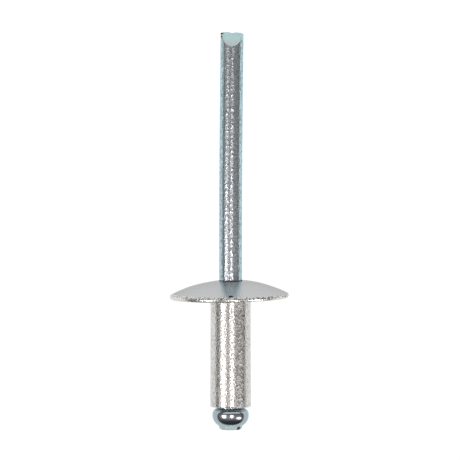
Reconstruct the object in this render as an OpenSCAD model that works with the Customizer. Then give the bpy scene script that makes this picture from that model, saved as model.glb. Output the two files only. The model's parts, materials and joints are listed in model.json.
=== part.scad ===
// Blind rivet with a large domed flange, unset, lying at rest on a flat surface.
// A tubular aluminium body carries the flange, and a steel mandrel runs through it.
// Each piece is drawn on the rivet's own axis, with Z = 0 at the flat underside of
// the flange and +Z towards the mandrel's tip, and lay_down() then puts it at rest.

/* [Flange] */
// Diameter of the large flange
flange_d = 14; // [10:0.1:16]
// Thickness of the flange at its rim, before the edges are rounded
rim_t = 0.46; // [0.42:0.01:0.7]
// Height of the head, from its flat underside to the land round the mandrel
head_h = 2.07; // [1.6:0.01:2.4]
// Diameter of the flat land on top, where the nose of the setting tool bears
land_d = 3.8; // [3.3:0.1:4.6]
// Radius of the rim's upper edge
rim_top_round = 0.25; // [0.1:0.01:0.26]
// Radius of the rim's lower edge
rim_low_round = 0.14; // [0.05:0.01:0.15]

/* [Shank] */
// Outer diameter of the tubular shank
shank_d = 4.76; // [4.6:0.01:4.9]
// Length of the shank below the flange
shank_l = 12.8; // [8:0.1:20]
// Radius of the fillet where the shank meets the flange
root_fillet = 0.2; // [0.1:0.01:0.3]
// Radius of the outer edge at the shank's open end
shank_end_round = 0.18; // [0.05:0.01:0.3]
// Gap between the mandrel and the bore, on the radius
bore_clearance = 0.03; // [0.01:0.01:0.05]
// Chamfer at the bore's upper mouth
mouth_chamfer = 0.12; // [0.05:0.01:0.2]

/* [Mandrel stem] */
// Diameter of the mandrel wire
wire_d = 2.7; // [2.6:0.01:2.8]
// Length of the mandrel that stands out of the head
stem_out = 29.3; // [24:0.1:36]
// Diameter left at the break neck
neck_d = 1.8; // [1.5:0.05:2.2]
// Length of the break neck's V groove
neck_l = 1; // [0.6:0.1:1.6]
// Distance from the mandrel head to the middle of the break neck
neck_up = 2.2; // [1.2:0.1:3.5]

/* [Mandrel head] */
// Largest diameter of the mandrel head
bulb_d = 4.3; // [4:0.05:4.6]
// Whole length of the mandrel head
bulb_l = 2.7; // [2.5:0.05:3.2]
// Diameter of the collar that bears on the shank's open end
collar_d = 3.2; // [3.1:0.05:3.5]
// Drop from the collar's face to the top of the rounded shoulder
collar_h = 0.12; // [0.05:0.01:0.2]
// Radius of the shoulder
shoulder_r = 0.75; // [0.6:0.05:0.9]
// Length of the straight band between shoulder and belly
band_l = 0.23; // [0.05:0.01:0.3]
// Radius of the belly below the band
belly_r = 1.05; // [0.9:0.05:1.1]
// Slope of the flare between the belly and the stub, from the axis
flare_angle = 39; // [30:1:45]
// Length of the stub below the flare
stub_l = 0.4; // [0.3:0.05:0.6]
// Radius of the stub's lower edge
stub_round = 0.35; // [0.1:0.05:0.4]

/* [Mandrel tip] */
// Length of the tip, from the start of the pinched flats to the torn edge
tip_l = 1.62; // [1.4:0.02:2]
// Radius of the cutting jaws that pinched the wire
jaw_r = 2.95; // [2.4:0.05:4]
// Slope of the pinched flats where they start, from the axis
jaw_angle = 40; // [34:1:46]
// Slope of the torn end on each side of its ridge, from square across
torn_angle = 33; // [20:1:40]
// Drop of the torn edge below its highest point, at even steps across the wire
torn_drops = [0.24, 0.09, 0.04, 0.13, 0, 0.02, 0.12];

/* [Hidden] */
$fn = 96;

// Overlap of cutting shapes beyond the metal they cut
over = 1;

// Turn of the body about its own axis. It puts the seam of the revolved surface at the
// side, clear of the point of the rim that the rivet rests on.
seam_turn = 92.14;

flange_r = flange_d / 2;
land_r = land_d / 2;
shank_r = shank_d / 2;
wire_r = wire_d / 2;
neck_r = neck_d / 2;
bulb_r = bulb_d / 2;
collar_r = collar_d / 2;
bore_r = wire_r + bore_clearance;

// The dome is the sphere through the rim's upper corner and the land's edge
dome_z = (head_h * head_h + land_r * land_r - rim_t * rim_t - flange_r * flange_r)
    / (2 * (head_h - rim_t));
dome_r = norm([flange_r, rim_t - dome_z]);

// Centre of the rim's upper round, which touches the rim's wall and the dome
rim_c_r = flange_r - rim_top_round;
rim_c_z = dome_z + sqrt(pow(dome_r - rim_top_round, 2) - rim_c_r * rim_c_r);
rim_touch_angle = atan2(rim_c_z - dome_z, rim_c_r);

// Heights along the mandrel
seat_z = -shank_l;
neck_z = seat_z + neck_up;
shoulder_z = seat_z - collar_h - shoulder_r;
belly_z = shoulder_z - band_l;
stub_end_z = seat_z - bulb_l;
tip_z = head_h + stem_out;
flats_z = tip_z - tip_l;

// The flare starts on the stub's wall and ends inside the belly
flare_z = stub_end_z + stub_l;
flare_h = belly_z - belly_r / 2 - flare_z;

// Centre of the jaws' curve, from the slope of the flats where they start
jaw_c_x = wire_r + jaw_r * cos(jaw_angle);
jaw_c_z = flats_z + jaw_r * sin(jaw_angle);

// The rivet rests on the rim's upper round and on the lower corner of its tip.
// Its axis then slopes down to the tip by rest_tilt.
rest_run = flats_z - rim_c_z;
rest_drop = rim_c_r - wire_r;
rest_tilt = atan2(rest_drop, rest_run) + asin(rim_top_round / norm([rest_run, rest_drop]));
axis_height = flats_z * sin(rest_tilt) + wire_r * cos(rest_tilt);

// The two ends of the resting rivet, measured along X from the flange's underside
tip_x = tip_z * cos(rest_tilt);
stub_x = (stub_end_z + stub_round) * cos(rest_tilt)
    - (wire_r - stub_round) * sin(rest_tilt) - stub_round;

// Puts a piece that is drawn on the rivet's own axis into the resting pose.
// The origin is on the surface, half way between the two ends.
module lay_down() {
    translate([-(tip_x + stub_x) / 2, 0, axis_height])
        rotate([0, 90 + rest_tilt, 0])
            children();
}

// What a round of radius r takes off a corner, for a round that is centred at c
// and reaches from the angle a0 to the angle a1
module corner_waste(c, r, a0, a1) {
    far = 2 * r;
    half = (a0 + a1) / 2;
    translate(c)
        difference() {
            polygon([
                [0, 0],
                far * [cos(a0), sin(a0)],
                far / cos(half - a0) * [cos(half), sin(half)],
                far * [cos(a1), sin(a1)]
            ]);
            circle(r);
        }
}

// Half section of the domed flange, with its rounded rim
module flange_profile() {
    difference() {
        intersection() {
            translate([0, dome_z])
                circle(dome_r);
            square([flange_r, head_h]);
        }
        corner_waste([rim_c_r, rim_c_z], rim_top_round, 0, rim_touch_angle);
        corner_waste([flange_r - rim_low_round, rim_low_round], rim_low_round, -90, 0);
    }
}

// Half section of the shank, filled to the axis, with its root fillet
module shank_profile() {
    difference() {
        translate([0, -shank_l])
            square([shank_r, shank_l + rim_t / 2]);
        corner_waste([shank_r - shank_end_round, shank_end_round - shank_l], shank_end_round, -90, 0);
    }
    difference() {
        translate([shank_r - root_fillet, -root_fillet])
            square([2 * root_fillet, root_fillet + rim_t / 2]);
        translate([shank_r + root_fillet, -root_fillet])
            circle(root_fillet);
    }
}

// Half section of the bore, with the chamfer at its upper mouth
module bore_profile() {
    translate([0, -shank_l - over])
        square([bore_r, shank_l + head_h + 2 * over]);
    polygon([
        [0, head_h - mouth_chamfer],
        [bore_r, head_h - mouth_chamfer],
        [bore_r + mouth_chamfer + over, head_h + over],
        [0, head_h + over]
    ]);
}

// Half section of the upset head: collar, shoulder, belly, flare and the stub of wire
module bulb_profile() {
    translate([0, belly_z])
        square([collar_r, seat_z - belly_z]);
    translate([0, belly_z])
        square([bulb_r, band_l]);
    translate([bulb_r - shoulder_r, shoulder_z])
        circle(shoulder_r);
    translate([bulb_r - belly_r, belly_z])
        circle(belly_r);
    polygon([
        [0, flare_z],
        [wire_r, flare_z],
        [wire_r + flare_h * tan(flare_angle), flare_z + flare_h],
        [0, flare_z + flare_h]
    ]);
    difference() {
        translate([0, stub_end_z])
            square([wire_r, seat_z - stub_end_z]);
        corner_waste([wire_r - stub_round, stub_end_z + stub_round], stub_round, -90, 0);
    }
}

// Half section of the wire, with the break neck inside the shank
module stem_profile() {
    difference() {
        translate([0, seat_z - over / 2])
            square([wire_r, tip_z - seat_z + over / 2]);
        polygon([
            [neck_r, neck_z],
            [wire_r + over, neck_z + neck_l / 2 * (wire_r + over - neck_r) / (wire_r - neck_r)],
            [wire_r + over, neck_z - neck_l / 2 * (wire_r + over - neck_r) / (wire_r - neck_r)]
        ]);
    }
}

// What the two jaws took off the tip, and the torn end that they left between them
module tip_waste() {
    steps = len(torn_drops) - 1;
    for (side = [-1, 1])
        translate([side * jaw_c_x, 0, jaw_c_z])
            rotate([90, 0, 0])
                cylinder(h = 2 * (wire_r + over), r = jaw_r, center = true);
    for (side = [-1, 1])
        translate([0, 0, tip_z])
            rotate([0, side * torn_angle, 0])
                translate([side > 0 ? 0 : -2 * wire_d, -wire_d, 0])
                    cube([2 * wire_d, 2 * wire_d, tip_l]);
    translate([-wire_d, 0, 0])
        rotate([90, 0, 90])
            linear_extrude(height = 2 * wire_d)
                polygon(concat(
                    [for (i = [0 : steps]) [wire_d * (i / steps - 0.5), tip_z - torn_drops[i]]],
                    [[wire_r + over, tip_z], [wire_r + over, tip_z + over]],
                    [[-wire_r - over, tip_z + over], [-wire_r - over, tip_z]]
                ));
}

// The tubular body with its flange, formed in one piece
module rivet_body() {
    color([0.80, 0.80, 0.79])
        lay_down()
            rotate([0, 0, seam_turn])
                rotate_extrude()
                    difference() {
                        union() {
                            flange_profile();
                            shank_profile();
                        }
                        bore_profile();
                    }
}

// The mandrel, one length of wire with an upset head, a break neck and a pinched tip
module mandrel() {
    color([0.60, 0.67, 0.69])
        lay_down()
            difference() {
                rotate_extrude() {
                    stem_profile();
                    bulb_profile();
                }
                tip_waste();
            }
}

rivet_body();
mandrel();
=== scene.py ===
"""Dresses a blind rivet with a large domed flange, and lights it on a plain studio table.

The rivet lies at rest. Its body is cold-formed aluminium, and its mandrel is zinc-plated
steel wire. Both are turned meshes, drawn on the rivet's own axis in millimetres: Z = 0 is
at the flange's flat underside, +Z runs to the mandrel's tip and -X faces the camera.
"""

import functools
import json
import math

import bmesh
import bpy
from bpy.props import FloatProperty, FloatVectorProperty, IntProperty, PointerProperty
from mathutils import Matrix, Vector, noise


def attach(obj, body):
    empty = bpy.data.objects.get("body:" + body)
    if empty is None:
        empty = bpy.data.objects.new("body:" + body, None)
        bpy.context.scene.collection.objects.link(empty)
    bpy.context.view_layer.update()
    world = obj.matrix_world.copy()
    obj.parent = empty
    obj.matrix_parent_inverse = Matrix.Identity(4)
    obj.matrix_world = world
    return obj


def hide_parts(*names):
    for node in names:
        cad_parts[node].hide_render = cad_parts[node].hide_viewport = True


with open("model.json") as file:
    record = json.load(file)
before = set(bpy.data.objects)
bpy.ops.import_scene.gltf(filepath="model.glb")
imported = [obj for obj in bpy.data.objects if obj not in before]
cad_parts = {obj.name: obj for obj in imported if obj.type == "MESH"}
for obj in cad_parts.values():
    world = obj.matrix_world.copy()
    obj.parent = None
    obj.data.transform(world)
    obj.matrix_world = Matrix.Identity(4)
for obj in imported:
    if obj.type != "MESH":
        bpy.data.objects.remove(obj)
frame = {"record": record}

bl_info = {
    "name": "Flange Head Rivet",
    "version": (1, 0, 0),
    "blender": (4, 5, 0),
    "location": "View3D > Sidebar > Rivet",
    "description": "Builds a blind rivet with a large domed flange, and a studio table for it",
    "category": "Add Mesh",
}

# One millimetre in metres
MM = 0.001

# Longest edges along the two turned outlines, in mm, and the share of an edge by which a
# stretch may be over it before it is split
BODY_EDGE = 0.16
MANDREL_EDGE = 0.25
EDGE_SLACK = 1e-6

# Steps of the tip's mesh, along the pinched flats and across the torn end
FLAT_STEPS = 44
TORN_STEPS = 24

# Faces that meet at more than this angle, in degrees, meet at a sharp edge
BODY_CREASE = 30
MANDREL_CREASE = 35

# Order of the finishes on each piece's faces
TUMBLED, PRESSED, EDGE, CORNER = range(4)
# The mandrel's last finish is painted shadow where the stem enters the flange
DRAWN, TORN, UPSET, FRACTURE, JOINT_SHADOW = range(5)

# Where the body's unevenness fades in, from one place to the other in mm: up the axis to
# the flange, then out from the axis to the shank's wall, over the flange and to the rim
TO_FLANGE = (-1.2, 0.0)
TO_WALL = (1.5, 2.2)
OVER_FLANGE = (2.4, 5.0)
TO_RIM = (6.2, 7.0)

# Unevenness of the worked metal: its height in mm, and how many waves it has to the mm
SHANK_WAVES = (0.006, 0.55)
RIM_WAVES = (0.02, 0.35)
STEM_WAVES = (0.004, 0.7)
COARSE_TEAR = (0.025, 6.0)
FINE_TEAR = (0.012, 15.0)

# Heights in the noise, in mm, for an unevenness that is the same all the way up the axis
RIM_SLICE = 9.0
COARSE_SLICE = 3.0
FINE_SLICE = 7.0

# Half width of the faint ring round the shank, and length of the bend where the stem starts
# to lean, in mm
RING_HALF_WIDTH = 0.22
BEND_LENGTH = 2.0

# The wire's core, which its waves leave as it is, in mm on the radius
CORE_R = 0.3

# How far the torn end lies below the tip, so that its grain doesn't stand past it, in mm
TORN_DROP = 0.02

# A face of the tip counts as pinched when it lies this near to the jaws' curve, in mm
PINCH_REACH = 0.004

# How much of the rim's upper round is rough, as a share of its radius
ROUGH_SHARE = 0.6

# Inside the rim, the dome starts at this height, in mm
DOME_FROM = 0.1

# Width of the clouds in which a metal's colour varies, in mm
CLOUD_WIDTH = 1.25

# Dark marks on the rivet, as their place on its axis and their radius in mm. The body's is a nick
# in the rim, dark from its dirt and from painted shade in the pit; the mandrel's are dark specks.
# Each is dark within the first share of its radius and gone at the second.
BODY_NICK_DIRT_AND_SHADE = (((-6.60, -0.03, 0.62), 0.34),)
MANDREL_MARKS = (
    ((-0.91, -0.94, -15.32), 0.3),
    ((-0.12, 1.05, 31.18), 0.26),
    ((-0.57, 1.06, 30.83), 0.18),
)
MARK_SHARES = (0.55, 1.15)

# Studio lamps: azimuth to the right of the camera and elevation towards the tip, both as
# the rivet sees them, then width and height, all in degrees, and radiance
STRIP_LAMPS = {
    "left_strip_lamp": (-42.0, -13.5, 26.5, 22.0, 4.0),
    "middle_strip_lamp": (8.0, -13.5, 18.0, 22.0, 4.4),
    "right_strip_lamp": (56.0, -26.0, 33.0, 15.0, 3.8),
    "upper_strip_lamp": (8.0, 44.0, 110.0, 34.0, 0.85),
    "fill_lamp": (0.0, -21.0, 150.0, 37.0, 0.13),
}

# The lamps are a little warmer than the room
LAMP_COLOUR = "#FFFBF8"

# Brightness of the room on what isn't mirrored, then of its walls as metal mirrors them: on
# the camera's right, on its left and beyond the mandrel's head, and of a wall's foot as a
# share of the rest of it
ROOM_LEVEL = 3.0
RIGHT_WALL = 0.18
LEFT_WALL = 0.22
FAR_WALL = 0.05
WALL_FOOT = 0.2

# Where the mirrored walls change, as parts of a unit vector: from the camera's right to its
# left, from beyond the mandrel's head to the rest, and from a wall's foot upwards
RIGHT_TO_LEFT = (-0.3, 0.3)
FAR_TO_NEAR = (-0.75, -0.3)
FOOT_TO_WALL = (0.0, 0.35)

# Brightness of the milk glass, as the camera sees it and as metal mirrors it
GLASS_SEEN = 1.1
GLASS_MIRRORED = 0.97


def linear(hex_colour):
    """Turns an sRGB colour such as '#C8C9C5' into linear red, green and blue."""
    parts = [int(hex_colour[i : i + 2], 16) / 255 for i in (1, 3, 5)]
    return [p / 12.92 if p <= 0.04045 else ((p + 0.055) / 1.055) ** 2.4 for p in parts]


def length_property(name, millimetres, description):
    """A size that a user may change, given in millimetres and kept in metres."""
    return FloatProperty(
        name=name,
        description=description,
        default=millimetres * MM,
        min=0.0,
        precision=5,
        unit="LENGTH",
        subtype="DISTANCE",
    )


def angle_property(name, degrees, description):
    """An angle that a user may change, given in degrees and kept in radians."""
    return FloatProperty(
        name=name,
        description=description,
        default=math.radians(degrees),
        subtype="ANGLE",
        unit="ROTATION",
    )


def colour_property(name, hex_colour, description):
    """A colour that a user may change."""
    return FloatVectorProperty(
        name=name,
        description=description,
        default=linear(hex_colour),
        min=0.0,
        max=1.0,
        size=3,
        subtype="COLOR",
    )


class BodySizes(bpy.types.PropertyGroup):
    """Sizes of the tubular body and its flange."""

    flange_d: length_property("Flange diameter", 14.0, "Diameter of the large flange")
    rim_t: length_property("Rim thickness", 0.46, "Thickness of the flange at its rim")
    head_h: length_property("Head height", 2.07, "Height of the head above its flat underside")
    land_d: length_property("Land diameter", 3.8, "Diameter of the flat land round the mandrel")
    rim_top_round: length_property("Rim upper round", 0.25, "Radius of the rim's upper edge")
    rim_low_round: length_property("Rim lower round", 0.14, "Radius of the rim's lower edge")
    shank_d: length_property("Shank diameter", 4.82, "Outer diameter of the shank at its open end")
    shank_l: length_property("Shank length", 12.8, "Length of the shank below the flange")
    shank_taper: length_property(
        "Shank taper", 0.045, "How much smaller the shank's radius is at the flange"
    )
    root_fillet: length_property("Root fillet", 0.2, "Radius where the shank meets the flange")
    end_round: length_property("End round", 0.15, "Radius of the edge at the shank's open end")
    bore_d: length_property("Bore diameter", 2.76, "Diameter of the bore")
    mouth_chamfer: length_property("Mouth chamfer", 0.12, "Chamfer at the bore's upper mouth")
    ring_depth: length_property(
        "Ring depth", 0.012, "Depth of the faint pressed ring round the shank"
    )
    ring_z: length_property("Ring place", 7.85, "Distance from the flange to the faint ring")
    flange_shift: length_property(
        "Flange shift", 0.16, "How far the flange sits off the shank's axis"
    )
    flange_skew: angle_property(
        "Flange skew", 1.05, "How far the flange leans from square to the shank"
    )
    rim_draft: angle_property(
        "Rim draft", 9.5, "How far the rim's wall leans in towards the flange's underside"
    )


class MandrelSizes(bpy.types.PropertyGroup):
    """Sizes of the mandrel: its wire, its upset head and its pinched tip."""

    wire_d: length_property("Wire diameter", 2.7, "Diameter of the wire")
    stem_out: length_property("Stem length", 29.3, "Length that stands out of the flange")
    neck_d: length_property("Neck diameter", 1.8, "Diameter left at the break neck")
    neck_l: length_property("Neck length", 1.0, "Length of the break neck's groove")
    neck_up: length_property("Neck place", 2.2, "Distance from the mandrel head to the neck")
    bulb_d: length_property("Head diameter", 4.3, "Largest diameter of the mandrel head")
    bulb_l: length_property("Head length", 2.7, "Whole length of the mandrel head")
    collar_d: length_property("Collar diameter", 3.2, "Diameter of the head's bearing collar")
    collar_h: length_property("Collar drop", 0.12, "Drop from the collar to the shoulder")
    shoulder_r: length_property("Shoulder radius", 0.75, "Radius of the head's shoulder")
    band_l: length_property("Band length", 0.12, "Length of the straight band")
    belly_r: length_property("Belly radius", 1.4, "Radius of the head's belly")
    stub_l: length_property("Stub length", 0.4, "Length of the stub of wire below the head")
    stub_round: length_property("Stub round", 0.35, "Radius of the stub's lower edge")
    tip_l: length_property("Tip length", 1.62, "Length of the pinched tip")
    jaw_r: length_property("Jaw radius", 2.95, "Radius of the jaws that pinched the wire")
    film_l: length_property(
        "Film length", 0.35, "How far below the shank the head keeps the wire's bluish film"
    )
    # The dark line is painted shadow in the gap at the flange's mouth
    joint_l: length_property(
        "Joint width", 0.1, "Width of the dark line where the stem enters the flange"
    )
    shear_l: length_property("Sheared length", 0.62, "Length of the head's dull, sheared end")
    lean_from: length_property("Lean start", 13.5, "Where the stem starts to lean aside")
    stem_lean: angle_property(
        "Stem lean", 0.55, "How far the upper stem leans from the rivet's axis"
    )
    flare_angle: angle_property(
        "Flare angle", 39, "Slope of the flare between belly and stub, from the axis"
    )
    jaw_angle: angle_property(
        "Jaw angle", 40, "Slope of the pinched flats where they start, from the axis"
    )
    torn_angle: angle_property(
        "Torn angle", 33, "Slope of the torn end on each side of its ridge, from square across"
    )


class Finishes(bpy.types.PropertyGroup):
    """Colours of the rivet and the table."""

    aluminium: colour_property("Aluminium", "#E4E4E1", "Bare cold-formed aluminium alloy")
    pitted_aluminium: colour_property("Pitted aluminium", "#D8D6D4", "Its pits, a little dull")
    # Darker than real pits: painted dark reflection along the rim's upper corner
    corner_pits_and_dark_reflection: colour_property("Corner pits", "#8C8885", "Dark pits on the rim's corner")
    pressed_aluminium: colour_property("Pressed aluminium", "#DDDFE1", "Its die-pressed faces")
    oxide: colour_property("Oxide", "#FBFBFB", "Thin clear oxide on the aluminium")
    # Its grey tint darkens the dome's outline, as painted shade
    outline_shade_film: colour_property("Die film", "#F2F2F2", "Thicker grey film that the die left")
    zinc: colour_property("Zinc", "#FFDEE1", "Zinc plate below its passivation")
    passivation: colour_property("Passivation", "#D4F9FF", "Bluish film on the zinc plate")
    head_film: colour_property("Head film", "#E6FAFF", "Thinner film on the upset head")
    head_zinc: colour_property("Head zinc", "#C8BCBE", "Zinc plate on the upset head")
    steel: colour_property("Steel", "#D4B8B6", "Steel that shows through in the wire's pits")
    torn_zinc: colour_property("Torn zinc", "#7F9A92", "Dull zinc plate on the sheared facets")
    thick_film: colour_property("Thick film", "#8A8F97", "Lilac where the film is thicker")
    bright_tear: colour_property("Bright tear", "#8FA7B0", "Zinc plate on the torn edge")
    # Also the colour of painted shade: in the rim's nick and in the line where the stem enters the
    # flange
    mark: colour_property("Mark", "#1C1B1A", "Dark nicks and specks")
    glass: colour_property("Milk glass", "#FBFBFA", "Top of the light table")


class StageSettings(bpy.types.PropertyGroup):
    """The camera and the studio table."""

    camera_tilt: angle_property(
        "Camera tilt", 3.95, "How far the camera stands towards the tip from square to the rivet"
    )
    camera_away: length_property("Camera distance", 1000.0, "Distance from camera to rivet")
    frame_width: length_property("Frame width", 54.07, "Width of the picture at the rivet")
    aim_up: length_property("Aim along axis", 8.05, "Where on the axis the camera looks")
    aim_side: length_property("Aim aside", 0.07, "How far left of the axis the camera looks")
    table_size: length_property("Table size", 2400.0, "Side of the light table")
    lamps_away: length_property("Lamp distance", 200.0, "Distance from the lamps to the rivet")
    rings_round: IntProperty(
        name="Segments round",
        description="Segments of each turned mesh round its axis, in fours",
        default=256,
        min=32,
        max=512,
    )


def rivet_pose():
    """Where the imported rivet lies, as the matrix from its own axis to the table."""
    seat = next(m for m in frame["record"]["mounts"] if m["name"] == "flange_seat")
    to_tip = -Vector(seat["axis"]).normalized()
    across = Vector((0, 1, 0))
    down = across.cross(to_tip)
    pose = Matrix((down, across, to_tip)).transposed().to_4x4()
    pose.translation = (seat["pos_m"][0], 0, seat["pos_m"][2])
    return pose


def arc(centre, radius, start, end, steps):
    """Points on a circle from one angle to another, in degrees."""
    angles = [math.radians(start + (end - start) * i / steps) for i in range(steps + 1)]
    return [(centre[0] + radius * math.cos(a), centre[1] + radius * math.sin(a)) for a in angles]


def evenly_filled(points, gap):
    """Adds points to a line wherever neighbours are over gap apart, and drops repeats."""
    filled = [points[0]]
    for a, b in zip(points, points[1:]):
        steps = math.ceil(math.dist(a, b) / gap - EDGE_SLACK)
        filled += [
            (a[0] + (b[0] - a[0]) * i / steps, a[1] + (b[1] - a[1]) * i / steps)
            for i in range(1, steps + 1)
        ]
    return filled


def eased(value, low, high):
    """A smooth step from 0 at low to 1 at high."""
    share = min(1.0, max(0.0, (value - low) / (high - low)))
    return share * share * (3 - 2 * share)


def body_outline(size):
    """Half section of the body in mm, once round from the bore's upper mouth."""
    flange_r, land_r, shank_r, bore_r = (
        d / 2 / MM for d in (size.flange_d, size.land_d, size.shank_d, size.bore_d)
    )
    rim_t, head_h, shank_l = (v / MM for v in (size.rim_t, size.head_h, size.shank_l))
    top, low, root, end = (
        v / MM for v in (size.rim_top_round, size.rim_low_round, size.root_fillet, size.end_round)
    )
    chamfer = size.mouth_chamfer / MM
    dome_z = (head_h**2 + land_r**2 - rim_t**2 - flange_r**2) / (2 * (head_h - rim_t))
    dome_r = math.hypot(flange_r, rim_t - dome_z)
    rim_z = dome_z + math.sqrt((dome_r - top) ** 2 - (flange_r - top) ** 2)
    touch = math.degrees(math.atan2(rim_z - dome_z, flange_r - top))
    crown = math.degrees(math.atan2(head_h - dome_z, land_r))

    # The rim's wall leans in towards its underside, and touches both of the rim's rounds
    lean = size.rim_draft
    wall = (rim_z - low - (top - low) * math.sin(lean)) / math.cos(lean)
    low_r = flange_r - top + (top - low) * math.cos(lean) - wall * math.sin(lean)

    points = [(bore_r + chamfer, head_h)]
    points += arc((0, dome_z), dome_r, crown, touch, steps=40)
    points += arc((flange_r - top, rim_z), top, touch, -math.degrees(lean), steps=12)
    points += arc((low_r, low), low, -math.degrees(lean), -90, steps=8)
    points += arc((shank_r + root, -root), root, 90, 180, steps=8)
    points += arc((shank_r - end, end - shank_l), end, 0, -90, steps=10)
    points += [(bore_r, -shank_l), (bore_r, head_h - chamfer)]
    return evenly_filled(points + points[:1], BODY_EDGE)[:-1]


def waves(place, height, tightness):
    """Height of a smooth unevenness at a place on the rivet, in mm."""
    return height * noise.noise(Vector(place) * tightness)


def worked_body(size, x, y, z):
    """Moves a point of the true turned body to where the cold-forming left it."""
    r = math.hypot(x, y)
    flange = eased(z, *TO_FLANGE)
    along = min(1.0, max(0.0, -z * MM / size.shank_l))
    ring = math.exp(-(((z + size.ring_z / MM) / RING_HALF_WIDTH) ** 2))
    thinner = size.shank_taper / MM * (1 - along) + size.ring_depth / MM * ring
    spread = eased(r, *TO_WALL) * (waves((x, y, z), *SHANK_WAVES) - (1 - flange) * thinner)
    spread += eased(r, *TO_RIM) * waves((x, y, RIM_SLICE), *RIM_WAVES)
    x, y = x * (1 + spread / r), y * (1 + spread / r)
    z -= flange * math.tan(size.flange_skew) * y
    y += flange * eased(r, *OVER_FLANGE) * size.flange_shift / MM
    return x, y, z


def mandrel_outline(size, body):
    """Half section of the mandrel in mm, from the stub's end to where the flats start."""
    wire_r, bulb_r, collar_r, neck_r = (
        d / 2 / MM for d in (size.wire_d, size.bulb_d, size.collar_d, size.neck_d)
    )
    seat_z = -body.shank_l / MM
    tip_z = (body.head_h + size.stem_out) / MM
    shoulder, belly, stub = (v / MM for v in (size.shoulder_r, size.belly_r, size.stub_round))
    end_z = seat_z - size.bulb_l / MM
    shoulder_z = seat_z - size.collar_h / MM - shoulder
    belly_z = shoulder_z - size.band_l / MM
    flare_z = end_z + size.stub_l / MM
    slope = math.tan(size.flare_angle)

    # The flare meets the belly where its line crosses the belly's circle
    meet = next(
        a
        for a in range(-90, 0)
        if bulb_r - belly + belly * math.cos(math.radians(a))
        > wire_r + slope * (belly_z + belly * math.sin(math.radians(a)) - flare_z)
    )

    neck_z = seat_z + size.neck_up / MM
    half = size.neck_l / MM / 2
    foot_z = body.head_h / MM
    points = [(0.0, end_z)]
    points += arc((wire_r - stub, end_z + stub), stub, -90, 0, steps=10)
    points += [(wire_r, flare_z)]
    points += arc((bulb_r - belly, belly_z), belly, meet, 0, steps=20)
    points += arc((bulb_r - shoulder, shoulder_z), shoulder, 0, 90, steps=20)
    points += [(collar_r, shoulder_z + shoulder), (collar_r, seat_z), (wire_r, seat_z)]
    points += [(wire_r, neck_z - half), (neck_r, neck_z), (wire_r, neck_z + half)]
    # A ring of faces at the stem's foot, for the painted shadow line there
    points += [(wire_r, foot_z), (wire_r, foot_z + size.joint_l / MM)]
    points += [(wire_r, tip_z - size.tip_l / MM)]
    return evenly_filled(points, MANDREL_EDGE)


def worked_mandrel(size, x, y, z):
    """Moves a point of the true turned mandrel to where drawing and handling left it."""
    past_start = (z - size.lean_from / MM) / BEND_LENGTH
    y -= math.tan(size.stem_lean) * BEND_LENGTH * math.log1p(math.exp(past_start))
    r = math.hypot(x, y)
    if r > CORE_R and z > 0:
        swell = waves((x, y, z), *STEM_WAVES)
        x, y = x * (1 + swell / r), y * (1 + swell / r)
    return x, y, z


class TornTip:
    """The pinched flats and torn end of the mandrel, in mm on the rivet's axis."""

    # Drop of the torn edge below its highest point, at even steps across the wire
    DROPS = (0.24, 0.09, 0.04, 0.13, 0.0, 0.02, 0.12)

    # Rounds in which a wall's end and the torn end's height settle
    SETTLING_ROUNDS = 40

    def __init__(self, size, body):
        self.wire_r = size.wire_d / 2 / MM
        self.tip_z = (body.head_h + size.stem_out) / MM
        self.flats_z = self.tip_z - size.tip_l / MM
        self.jaw_r = size.jaw_r / MM
        self.jaw_x = self.wire_r + self.jaw_r * math.cos(size.jaw_angle)
        self.jaw_z = self.flats_z + self.jaw_r * math.sin(size.jaw_angle)
        self.torn_slope = math.tan(size.torn_angle)

    def half_width(self, z):
        """Half the width that the jaws left at this height."""
        if z <= self.flats_z:
            return self.wire_r
        return self.jaw_x - math.sqrt(self.jaw_r**2 - (self.jaw_z - z) ** 2)

    def drop(self, y):
        """How far the torn edge lies below its highest point."""
        place = (y / self.wire_r + 1) / 2 * (len(self.DROPS) - 1)
        i = min(len(self.DROPS) - 2, max(0, int(place)))
        share = eased(place - i, 0, 1)
        return self.DROPS[i] * (1 - share) + self.DROPS[i + 1] * share

    def pinched(self, x, z):
        """Where the jaws left a point of the wire's wall, across the flats."""
        return math.copysign(min(abs(x), self.half_width(z)), x)

    def torn_height(self, x, y):
        """Height of the torn end, with its grain."""
        grain = waves((x, y, COARSE_SLICE), *COARSE_TEAR) + waves((x, y, FINE_SLICE), *FINE_TEAR)
        return self.tip_z - TORN_DROP - self.drop(y) - self.torn_slope * abs(x) + grain

    def top(self, x, y):
        """Where the wall that stands at x and y ends: its x after pinching and its height."""
        z = self.tip_z
        for _ in range(self.SETTLING_ROUNDS):
            edge = self.pinched(x, z)
            z = self.torn_height(edge, y)
        return edge, z


def turn_angles(count):
    """Even angles once round the axis."""
    return [2 * math.pi * i / count for i in range(count)]


def turned_rows(mesh, outline, turn, worked):
    """A row of vertices round the axis for each point of an outline, once it is worked."""
    return [
        [mesh.verts.new(worked(r * math.cos(a), r * math.sin(a), z)) for a in turn]
        for r, z in outline
    ]


def turned_faces(mesh, rows, closed):
    """Joins rows of vertices that run round the axis into faces, row to row."""
    count = len(rows[0])
    pairs = list(zip(rows, rows[1:])) + ([(rows[-1], rows[0])] if closed else [])
    for low, high in pairs:
        for i in range(count):
            j = (i + 1) % count
            mesh.faces.new((low[i], low[j], high[j], high[i]))


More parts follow.
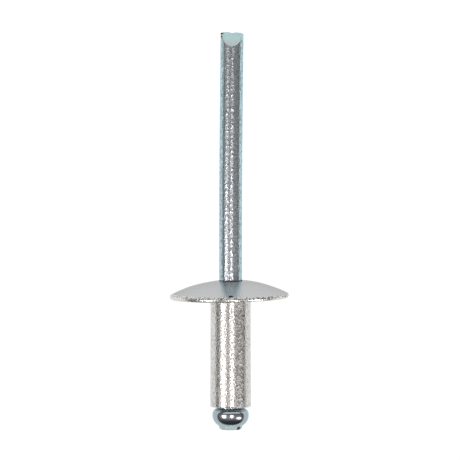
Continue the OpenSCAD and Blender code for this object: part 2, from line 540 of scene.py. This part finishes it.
def finished_object(name, mesh, crease, materials):
    """Turns a bmesh in mm on the rivet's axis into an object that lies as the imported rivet."""
    bmesh.ops.recalc_face_normals(mesh, faces=mesh.faces)
    mesh.transform(rivet_pose() @ Matrix.Scale(MM, 4))
    data = bpy.data.meshes.new(name)
    mesh.to_mesh(data)
    mesh.free()
    for material in materials:
        data.materials.append(material)
    data.shade_smooth()
    data.set_sharp_from_angle(angle=math.radians(crease))
    piece = bpy.data.objects.new(name, data)
    bpy.context.scene.collection.objects.link(piece)
    return piece


def add_node(tree, kind, settings=None, inputs=None):
    """Adds a node with its settings. An input is a plain value, or a node and its output."""
    node = tree.nodes.new(kind)
    for name, value in (settings or {}).items():
        setattr(node, name, value)
    for name, value in (inputs or {}).items():
        if isinstance(name, int):
            socket = node.inputs[name]
        else:
            socket = next(s for s in node.inputs if s.enabled and s.name == name)
        if isinstance(value, tuple) and isinstance(value[0], bpy.types.Node):
            source = next(s for s in value[0].outputs if s.enabled and s.name == value[1])
            tree.links.new(source, socket)
        else:
            socket.default_value = value
    return node


def new_material(name):
    """A new material, and its empty node tree."""
    material = bpy.data.materials.new(name)
    material.use_nodes = True
    material.node_tree.nodes.clear()
    return material, material.node_tree


def axis_millimetres(tree):
    """Coordinates on the rivet's own axis, in millimetres."""
    pose = rivet_pose()
    table = add_node(tree, "ShaderNodeTexCoord")
    return add_node(
        tree,
        "ShaderNodeMapping",
        {"vector_type": "TEXTURE"},
        {
            "Vector": (table, "Object"),
            "Location": pose.translation,
            "Rotation": pose.to_euler(),
            "Scale": (MM, MM, MM),
        },
    )


def marked_colour(tree, where, clean, marks, mark_colour):
    """Darkens a colour within each of the given spots."""
    for place, radius in marks:
        away = add_node(
            tree,
            "ShaderNodeVectorMath",
            {"operation": "DISTANCE"},
            {0: (where, "Vector"), 1: place},
        )
        inside = add_node(
            tree,
            "ShaderNodeMapRange",
            {"interpolation_type": "SMOOTHSTEP"},
            {
                "Value": (away, "Value"),
                "From Min": radius * MARK_SHARES[0],
                "From Max": radius * MARK_SHARES[1],
                "To Min": 1.0,
                "To Max": 0.0,
            },
        )
        clean = add_node(
            tree,
            "ShaderNodeMix",
            {"data_type": "RGBA"},
            {"Factor": (inside, "Result"), "A": (clean, "Result"), "B": (*mark_colour, 1)},
        )
    return clean


def metal(
    name,
    colour,
    pits,
    shade,
    grain,
    depth,
    roughness,
    marks=(),
    metallic=1.0,
    drawn=1.0,
    lands=(0.3, 0.7),
    film=None,
    film_ior=1.1,
):
    """A worked metal surface, with bright lands and duller pits between its grains.

    The colour varies by shade from cloud to cloud. Grain is the width of its grains in mm and
    depth their height, and drawn is how many times longer they are along the rivet. Roughness
    is that of the lands and that of the pits, and lands is the height at which the pits end
    and that at which the lands begin. Film is the colour of a thin film on the metal, which
    deepens where the light grazes it, the more so the closer film_ior is to 1.
    """
    finish = bpy.context.scene.rivet_finish
    material, tree = new_material(name)
    where = axis_millimetres(tree)
    cloud = add_node(
        tree,
        "ShaderNodeTexNoise",
        inputs={"Vector": (where, "Vector"), "Scale": 1 / CLOUD_WIDTH, "Detail": 3.0},
    )
    tone = add_node(
        tree,
        "ShaderNodeMix",
        {"data_type": "RGBA"},
        {
            "Factor": (cloud, "Fac"),
            "A": (*(c * (1 - shade) for c in colour), 1),
            "B": (*(min(1.0, c * (1 + shade)) for c in colour), 1),
        },
    )
    along = add_node(
        tree,
        "ShaderNodeMapping",
        inputs={"Vector": (where, "Vector"), "Scale": (1, 1, 1 / drawn)},
    )
    grains = add_node(
        tree,
        "ShaderNodeTexNoise",
        inputs={
            "Vector": (along, "Vector"),
            "Scale": 1 / grain,
            "Detail": 1.0,
            "Roughness": 0.5,
        },
    )
    land = add_node(
        tree,
        "ShaderNodeMapRange",
        inputs={"Value": (grains, "Fac"), "From Min": lands[0], "From Max": lands[1]},
    )
    rough = add_node(
        tree,
        "ShaderNodeMix",
        {"data_type": "FLOAT"},
        {"Factor": (land, "Result"), "A": roughness[1], "B": roughness[0]},
    )
    tone = add_node(
        tree,
        "ShaderNodeMix",
        {"data_type": "RGBA"},
        {"Factor": (land, "Result"), "A": (*pits, 1), "B": (tone, "Result")},
    )
    # Each mark darkens the colour; the rim's nick is darkened by dirt and painted shade
    tone = marked_colour(tree, where, tone, marks, finish.mark)
    relief = add_node(
        tree,
        "ShaderNodeBump",
        inputs={"Strength": 1.0, "Distance": depth * MM, "Height": (grains, "Fac")},
    )
    shader = add_node(
        tree,
        "ShaderNodeBsdfPrincipled",
        inputs={
            "Base Color": (tone, "Result"),
            "Metallic": metallic,
            "Roughness": (rough, "Result"),
            "Normal": (relief, "Normal"),
            "Coat Weight": 1.0 if film else 0.0,
            "Coat IOR": film_ior,
            "Coat Tint": (*(film or (1, 1, 1)), 1),
        },
    )
    add_node(tree, "ShaderNodeOutputMaterial", inputs={"Surface": (shader, "BSDF")})
    return material


def tumbled_aluminium(finish):
    """Cold-headed and tumbled aluminium alloy, as on the shank."""
    # A fine orange-peel grain breaks up the edges of each reflection. The real grain is about
    # 0.1 mm wide, and it is drawn a little coarser so that it shows.
    return metal(
        "tumbled_aluminium",
        colour=finish.aluminium,
        pits=finish.pitted_aluminium,
        shade=0.02,
        grain=0.26,
        depth=0.03,
        roughness=(0.14, 0.5),
        lands=(0.36, 0.62),
        film=finish.oxide,
    )


def die_pressed_aluminium(finish):
    """The same alloy where the heading dies pressed it, on the dome and the underside."""
    # It is smooth, with a soft and even satin sheen. Its grey film darkens the outline, as painted
    # shade
    return metal(
        "die_pressed_aluminium",
        colour=finish.pressed_aluminium,
        pits=finish.pressed_aluminium,
        shade=0.01,
        grain=0.3,
        depth=0.001,
        roughness=(0.26, 0.3),
        # The rim's nick is darkened by dirt and by painted shade
        marks=BODY_NICK_DIRT_AND_SHADE,
        film=finish.outline_shade_film,
        film_ior=1.02,
    )


def headed_aluminium_edge(finish):
    """The same alloy on the thin rim, where the metal ran to the edge of the die."""
    # It is bright, with fine pits that break the bright line
    return metal(
        "headed_aluminium_edge",
        colour=finish.aluminium,
        pits=finish.pitted_aluminium,
        shade=0.02,
        grain=0.2,
        depth=0.03,
        roughness=(0.15, 0.3),
    )


def rough_aluminium_corner(finish):
    """The same alloy on the rim's upper corner, which the tumbling left rough."""
    # It shows as a broken line of dark specks: rough pits, painted darker as a dark reflection
    return metal(
        "rough_aluminium_corner",
        colour=finish.aluminium,
        pits=finish.corner_pits_and_dark_reflection,
        shade=0.02,
        grain=0.2,
        depth=0.12,
        roughness=(0.1, 0.3),
        lands=(0.42, 0.54),
    )


def zinc_plated_wire(finish):
    """Bright zinc plate with a bluish passivation, on drawn steel wire."""
    # The drawn wire's fine grain runs along it, and the film turns its edges bluish. The real
    # grain is about 0.1 mm wide, and it is drawn coarser so that it shows.
    return metal(
        "zinc_plated_wire",
        colour=finish.zinc,
        pits=finish.steel,
        shade=0.04,
        grain=0.26,
        depth=0.035,
        roughness=(0.18, 0.42),
        marks=MANDREL_MARKS,
        drawn=1.5,
        lands=(0.36, 0.6),
        film=finish.passivation,
    )


def zinc_plated_head(finish):
    """The same plate where the die upset the wire into the mandrel's head."""
    # It is smooth, and mirrors the lamps as clear spots
    return metal(
        "zinc_plated_head",
        colour=finish.head_zinc,
        pits=finish.head_zinc,
        shade=0.02,
        grain=0.5,
        depth=0.004,
        roughness=(0.16, 0.2),
        film=finish.head_film,
    )


def zinc_plated_tear(finish):
    """The same plate on the sheared stub and the pinched flats."""
    # The sheared facets scatter the light, so it looks pale and dull
    return metal(
        "zinc_plated_tear",
        colour=finish.torn_zinc,
        pits=finish.thick_film,
        shade=0.06,
        grain=0.5,
        depth=0.04,
        roughness=(0.4, 0.5),
        marks=MANDREL_MARKS,
        metallic=0.45,
    )


def zinc_plated_fracture(finish):
    """The same plate on the torn end."""
    # Its torn grain is finer and catches more light than the sheared facets
    return metal(
        "zinc_plated_fracture",
        colour=finish.bright_tear,
        pits=finish.torn_zinc,
        shade=0.06,
        grain=0.3,
        depth=0.05,
        roughness=(0.4, 0.6),
        marks=MANDREL_MARKS,
        metallic=0.45,
    )


def painted_joint_shadow(finish):
    """Painted shadow in the gap where the stem enters the flange."""
    # It shows as a thin, dull, dark line of painted shade
    return metal(
        "painted_joint_shadow",
        colour=finish.mark,
        pits=finish.mark,
        shade=0.3,
        grain=0.2,
        depth=0.02,
        roughness=(0.5, 0.7),
        metallic=0.0,
    )


def give_body_finishes(mesh, size):
    """Gives each face of the body its finish."""
    rim_r = (size.flange_d / 2 - size.rim_top_round) / MM
    rough_z = (size.rim_t - ROUGH_SHARE * size.rim_top_round) / MM
    root_r = (size.shank_d / 2 + size.root_fillet) / MM
    for face in mesh.faces:
        middle = face.calc_center_median()
        out = math.hypot(middle.x, middle.y)
        if out > rim_r:
            face.material_index = CORNER if middle.z > rough_z else EDGE
        elif middle.z > DOME_FROM or out > root_r:
            face.material_index = PRESSED
        else:
            face.material_index = TUMBLED


class RIVET_OT_add_body(bpy.types.Operator):
    """Adds the tubular aluminium body with its domed flange"""

    bl_idname = "rivet.add_body"
    bl_label = "Add Body"

    def execute(self, context):
        size = context.scene.rivet_body
        finish = context.scene.rivet_finish
        turn = turn_angles(context.scene.rivet_stage.rings_round)
        worked = functools.partial(worked_body, size)
        mesh = bmesh.new()
        turned_faces(mesh, turned_rows(mesh, body_outline(size), turn, worked), closed=True)
        give_body_finishes(mesh, size)

        finishes = (
            tumbled_aluminium(finish),
            die_pressed_aluminium(finish),
            headed_aluminium_edge(finish),
            rough_aluminium_corner(finish),
        )
        body = finished_object("rivet_body_metal", mesh, BODY_CREASE, finishes)
        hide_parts("rivet_body")
        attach(body, "root")
        return {"FINISHED"}


def add_turned_wire(mesh, outline, turn, worked):
    """Adds the turned part of the mandrel, and returns the row where its flats start."""
    centre = mesh.verts.new(worked(0, 0, outline[0][1]))
    rows = turned_rows(mesh, outline[1:], turn, worked)
    for i, vertex in enumerate(rows[0]):
        mesh.faces.new((centre, rows[0][(i + 1) % len(turn)], vertex))
    turned_faces(mesh, rows, closed=False)
    return rows[-1]


def give_mandrel_finishes(mesh, size, body):
    """Gives each face of the turned mandrel its finish."""
    seat_z = -body.shank_l / MM
    sheared_z = seat_z - (size.bulb_l - size.shear_l) / MM
    rubbed_z = seat_z - size.film_l / MM
    foot_z = body.head_h / MM
    for face in mesh.faces:
        height = face.calc_center_median().z
        if height < sheared_z:
            face.material_index = TORN
        elif height < rubbed_z:
            face.material_index = UPSET
        # The thin ring at the stem's foot gets the painted shadow
        elif foot_z < height < foot_z + size.joint_l / MM:
            face.material_index = JOINT_SHADOW
        else:
            face.material_index = DRAWN


def add_pinched_flats(mesh, tip, walls, foot, worked):
    """Adds the tip's walls, cut back to the jaws' curve, and returns their upper row."""
    ends = [tip.top(x, y) for x, y in walls]
    rows = [foot]
    for k in range(1, FLAT_STEPS + 1):
        row = []
        for (x, y), (_, end_z) in zip(walls, ends):
            z = tip.flats_z + (end_z - tip.flats_z) * k / FLAT_STEPS
            row.append(mesh.verts.new(worked(tip.pinched(x, z), y, z)))
        rows.append(row)
    before = len(mesh.faces)
    turned_faces(mesh, rows, closed=False)
    mesh.faces.ensure_lookup_table()
    for face in mesh.faces[before:]:
        middle = face.calc_center_median()
        pinched = abs(middle.x) > tip.half_width(middle.z) - PINCH_REACH
        face.material_index = TORN if pinched else DRAWN
    return rows[-1]


def add_torn_end(mesh, tip, walls, rim, worked):
    """Adds the torn end, a grid across the wire from each wall to the wall that faces it."""
    count = len(walls)
    quarter = count // 4
    lines = []
    for i in range(-quarter, quarter + 1):
        j = (count // 2 - i) % count
        if rim[i] == rim[j]:
            lines.append([rim[i]] * (TORN_STEPS + 1))
            continue
        y = walls[i][1]
        start, stop = tip.top(*walls[i])[0], tip.top(*walls[j])[0]
        line = [rim[i]]
        for k in range(1, TORN_STEPS):
            x = start + (stop - start) * k / TORN_STEPS
            line.append(mesh.verts.new(worked(x, y, tip.torn_height(x, y))))
        lines.append([*line, rim[j]])
    for low, high in zip(lines, lines[1:]):
        for k in range(TORN_STEPS):
            corners = dict.fromkeys((low[k], low[k + 1], high[k + 1], high[k]))
            mesh.faces.new(list(corners)).material_index = FRACTURE


class RIVET_OT_add_mandrel(bpy.types.Operator):
    """Adds the zinc-plated mandrel with its upset head and its pinched, torn tip"""

    bl_idname = "rivet.add_mandrel"
    bl_label = "Add Mandrel"

    def execute(self, context):
        size = context.scene.rivet_mandrel
        body = context.scene.rivet_body
        finish = context.scene.rivet_finish
        turn = turn_angles(context.scene.rivet_stage.rings_round)
        tip = TornTip(size, body)
        walls = [(tip.wire_r * math.cos(a), tip.wire_r * math.sin(a)) for a in turn]
        worked = functools.partial(worked_mandrel, size)
        mesh = bmesh.new()
        foot = add_turned_wire(mesh, mandrel_outline(size, body), turn, worked)
        give_mandrel_finishes(mesh, size, body)
        rim = add_pinched_flats(mesh, tip, walls, foot, worked)
        add_torn_end(mesh, tip, walls, rim, worked)

        finishes = (
            zinc_plated_wire(finish),
            zinc_plated_tear(finish),
            zinc_plated_head(finish),
            zinc_plated_fracture(finish),
            painted_joint_shadow(finish),
        )
        mandrel = finished_object("mandrel_metal", mesh, MANDREL_CREASE, finishes)
        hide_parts("mandrel")
        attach(mandrel, "root")
        return {"FINISHED"}


def studio_world(scene):
    """A white room, which metal mirrors as dim walls, darkest beyond the mandrel's head."""
    world = bpy.data.worlds.new("studio_room")
    world.use_nodes = True

    # The room is even, so it needs no map of where its light comes from
    world.cycles.sampling_method = "NONE"
    tree = world.node_tree
    tree.nodes.clear()
    way = add_node(tree, "ShaderNodeTexCoord")
    parts = add_node(tree, "ShaderNodeSeparateXYZ", inputs={"Vector": (way, "Generated")})

    # The wall on the camera's right is a little dimmer than the one on its left
    side = add_node(
        tree,
        "ShaderNodeMapRange",
        {"interpolation_type": "SMOOTHSTEP"},
        {
            "Value": (parts, "Y"),
            "From Min": RIGHT_TO_LEFT[0],
            "From Max": RIGHT_TO_LEFT[1],
            "To Min": RIGHT_WALL,
            "To Max": LEFT_WALL,
        },
    )

    # The wall beyond the mandrel's head is dark
    dark = add_node(
        tree,
        "ShaderNodeMapRange",
        {"interpolation_type": "SMOOTHSTEP"},
        {
            "Value": (parts, "X"),
            "From Min": FAR_TO_NEAR[0],
            "From Max": FAR_TO_NEAR[1],
            "To Min": FAR_WALL,
            "To Max": (side, "Result"),
        },
    )

    # Little light comes from the foot of the walls, just above the table
    foot = add_node(
        tree,
        "ShaderNodeMapRange",
        {"interpolation_type": "SMOOTHSTEP"},
        {
            "Value": (parts, "Z"),
            "From Min": FOOT_TO_WALL[0],
            "From Max": FOOT_TO_WALL[1],
            "To Min": WALL_FOOT,
        },
    )
    walls = add_node(
        tree,
        "ShaderNodeMath",
        {"operation": "MULTIPLY"},
        {0: (dark, "Result"), 1: (foot, "Result")},
    )
    path = add_node(tree, "ShaderNodeLightPath")
    level = add_node(
        tree,
        "ShaderNodeMix",
        {"data_type": "FLOAT"},
        {"Factor": (path, "Is Glossy Ray"), "A": ROOM_LEVEL, "B": (walls, "Value")},
    )
    light = add_node(
        tree,
        "ShaderNodeBackground",
        inputs={"Color": (1, 1, 1, 1), "Strength": (level, "Result")},
    )
    add_node(tree, "ShaderNodeOutputWorld", inputs={"Surface": (light, "Background")})
    scene.world = world


def milk_glass(colour):
    """The top of a light table: milk glass lit from below, a little dimmer where mirrored."""
    material, tree = new_material("milk_glass")
    path = add_node(tree, "ShaderNodeLightPath")
    level = add_node(
        tree,
        "ShaderNodeMix",
        {"data_type": "FLOAT"},
        {"Factor": (path, "Is Glossy Ray"), "A": GLASS_SEEN, "B": GLASS_MIRRORED},
    )
    glow = add_node(
        tree,
        "ShaderNodeEmission",
        inputs={"Color": (*colour, 1), "Strength": (level, "Result")},
    )
    add_node(tree, "ShaderNodeOutputMaterial", inputs={"Surface": (glow, "Emission")})
    return material


def facing(position, target, up):
    """The matrix of something at position that looks at target."""
    back = (position - target).normalized()
    right = up.cross(back).normalized()
    matrix = Matrix((right, back.cross(right), back)).transposed().to_4x4()
    matrix.translation = position
    return matrix


def add_light_table(scene, side):
    """Adds the light table on which the rivet lies."""
    half = side / 2
    data = bpy.data.meshes.new("light_table")
    corners = [(-half, -half, 0), (half, -half, 0), (half, half, 0), (-half, half, 0)]
    data.from_pydata(corners, [], [(0, 1, 2, 3)])
    data.materials.append(milk_glass(scene.rivet_finish.glass))
    table = bpy.data.objects.new("light_table", data)
    scene.collection.objects.link(table)


def add_strip_lamps(scene, target, out, right, to_tip):
    """Adds the studio lamps round the rivet, which only its gloss shows."""
    away = scene.rivet_stage.lamps_away
    for name, (azimuth, elevation, width, height, radiance) in STRIP_LAMPS.items():
        a, e = math.radians(azimuth), math.radians(elevation)
        way = math.cos(e) * (math.cos(a) * out + math.sin(a) * right) + math.sin(e) * to_tip
        lamp = bpy.data.lights.new(name, "AREA")
        lamp.shape = "ELLIPSE"
        lamp.size = 2 * away * math.tan(math.radians(width / 2))
        lamp.size_y = 2 * away * math.tan(math.radians(height / 2))

        # An even area lamp gives off pi times its radiance from each square metre
        lamp.energy = math.pi * radiance * math.pi * lamp.size * lamp.size_y / 4
        lamp.color = linear(LAMP_COLOUR)
        holder = bpy.data.objects.new(name, lamp)
        holder.matrix_world = facing(target + way * away, target, to_tip)
        holder.visible_camera = False
        holder.visible_diffuse = False
        scene.collection.objects.link(holder)


def add_camera(scene, target, out, to_tip):
    """Adds the camera, which looks down on the rivet and stands a little towards its tip."""
    stage = scene.rivet_stage
    way = math.cos(stage.camera_tilt) * out + math.sin(stage.camera_tilt) * to_tip
    lens = bpy.data.cameras.new("studio_camera")
    lens.lens = lens.sensor_width * stage.camera_away / stage.frame_width
    camera = bpy.data.objects.new("studio_camera", lens)
    camera.matrix_world = facing(target + way * stage.camera_away, target, to_tip)
    scene.collection.objects.link(camera)
    scene.camera = camera


class RIVET_OT_set_stage(bpy.types.Operator):
    """Sets up the table, the studio light and the camera"""

    bl_idname = "rivet.set_stage"
    bl_label = "Set Stage"

    def execute(self, context):
        scene = context.scene
        stage = scene.rivet_stage
        pose = rivet_pose()
        to_tip = pose.col[2].to_3d()
        out = -pose.col[0].to_3d()
        right = -pose.col[1].to_3d()
        target = pose @ Vector((0, stage.aim_side, stage.aim_up))

        add_light_table(scene, stage.table_size)
        add_strip_lamps(scene, target, out, right, to_tip)
        studio_world(scene)
        add_camera(scene, target, out, to_tip)
        scene.view_settings.view_transform = "Standard"

        # Denoising without a prefilter keeps the metal's fine grain
        scene.cycles.denoising_prefilter = "NONE"
        return {"FINISHED"}


class RIVET_PT_panel(bpy.types.Panel):
    """Lists the rivet's pieces, its sizes and its stage"""

    bl_idname = "RIVET_PT_panel"
    bl_label = "Flange Head Rivet"
    bl_space_type = "VIEW_3D"
    bl_region_type = "UI"
    bl_category = "Rivet"

    def draw(self, context):
        for operator in OPERATORS:
            self.layout.operator(operator.bl_idname)
        for name in ("rivet_body", "rivet_mandrel", "rivet_finish", "rivet_stage"):
            group = getattr(context.scene, name)
            box = self.layout.box()
            box.label(text=group.bl_rna.name)
            for prop in group.bl_rna.properties:
                if prop.identifier not in ("rna_type", "name"):
                    box.prop(group, prop.identifier)


OPERATORS = (RIVET_OT_add_body, RIVET_OT_add_mandrel, RIVET_OT_set_stage)
CLASSES = (BodySizes, MandrelSizes, Finishes, StageSettings, *OPERATORS, RIVET_PT_panel)


def register():
    for cls in CLASSES:
        bpy.utils.register_class(cls)
    bpy.types.Scene.rivet_body = PointerProperty(type=BodySizes)
    bpy.types.Scene.rivet_mandrel = PointerProperty(type=MandrelSizes)
    bpy.types.Scene.rivet_finish = PointerProperty(type=Finishes)
    bpy.types.Scene.rivet_stage = PointerProperty(type=StageSettings)


def unregister():
    for name in ("rivet_stage", "rivet_finish", "rivet_mandrel", "rivet_body"):
        delattr(bpy.types.Scene, name)
    for cls in reversed(CLASSES):
        bpy.utils.unregister_class(cls)


def main():
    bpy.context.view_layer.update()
    register()
    bpy.ops.rivet.add_body()
    bpy.ops.rivet.add_mandrel()
    bpy.ops.rivet.set_stage()


if __name__ == "__main__":
    main()
